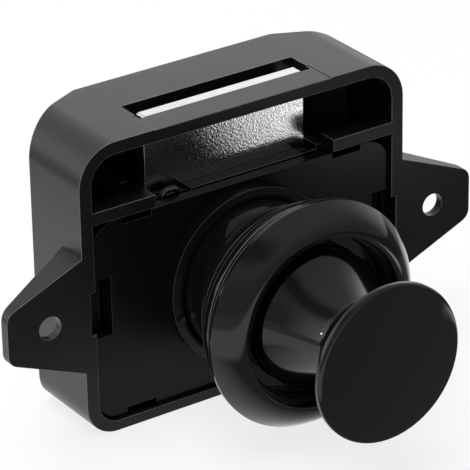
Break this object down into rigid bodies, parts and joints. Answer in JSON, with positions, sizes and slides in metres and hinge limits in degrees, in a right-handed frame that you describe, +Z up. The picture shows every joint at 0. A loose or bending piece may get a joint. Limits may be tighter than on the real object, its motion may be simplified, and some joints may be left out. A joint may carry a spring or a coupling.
{
  "type": "push button cabinet lock",
  "caption": "Black push-button latch for a cabinet door: shallow case with screw ears, rising flat latch, threaded barrel, flared trim rosette and trumpet-shaped knob.",
  "frame": {"origin": "on the button's axis, in the plane of the case rim that lies against the back of the door", "axes": "+X to the right across the door, +Y from the door into the cabinet (the knob points along -Y), +Z up, the way the latch rises"},
  "size_m": [0.076, 0.0509, 0.0427],
  "materials": {
    "black_plastic_satin": "satin, faintly textured",
    "black_plastic_gloss": "smooth gloss",
    "latch_grey": "satin, fine-grained",
    "steel_zinc": "zinc-plated",
    "steel_wire": "drawn spring wire"
  },
  "bodies": {
    "lock_body": {"housing": "black_plastic_satin", "cover_plate": "black_plastic_satin", "threaded_barrel": "black_plastic_satin", "barrel_lock_pin": "steel_wire", "button_spring": "steel_wire", "latch_spring_left": "steel_wire", "latch_spring_right": "steel_wire"},
    "button": {"button_cap": "black_plastic_gloss", "button_cone": "black_plastic_gloss", "button_stem": "black_plastic_satin", "stem_screw": "steel_zinc", "spring_washer": "steel_zinc"},
    "latch": {"latch_bolt": "latch_grey", "latch_slider": "black_plastic_satin", "latch_rivets": "steel_zinc", "hook_spring": "steel_zinc"},
    "hook": {"track_hook": "steel_wire"},
    "rosette": {"rosette": "black_plastic_gloss", "rosette_sleeve": "black_plastic_satin", "rosette_washer": "black_plastic_satin"}
  },
  "joints": [
    {"name": "button_push", "type": "slide", "parent": "lock_body", "child": "button", "axis": [0, 1, 0], "range_m": [0, 0.012], "stiffness_N_per_m": 250, "springref_m": -0.008, "deforming": ["button_spring"]},
    {"name": "latch_slide", "type": "slide", "parent": "lock_body", "child": "latch", "axis": [0, 0, 1], "range_m": [0, 0.0075], "deforming": ["latch_spring_left", "latch_spring_right"]},
    {"name": "hook_swing", "type": "hinge", "parent": "latch", "child": "hook", "pos_m": [-0.0081, 0.0033, 0.0123], "axis": [0, 1, 0], "range_deg": [0, 5.3]},
    {"name": "rosette_adjust", "type": "slide", "parent": "lock_body", "child": "rosette", "axis": [0, 1, 0], "range_m": [-0.003, 0.0035]}
  ],
  "couplings": [
    {"joint": "latch_slide", "follows": "button_push", "ratio": 0.625},
    {"joint": "hook_swing", "follows": "button_push", "rad_per_m": 7.5188}
  ]
}
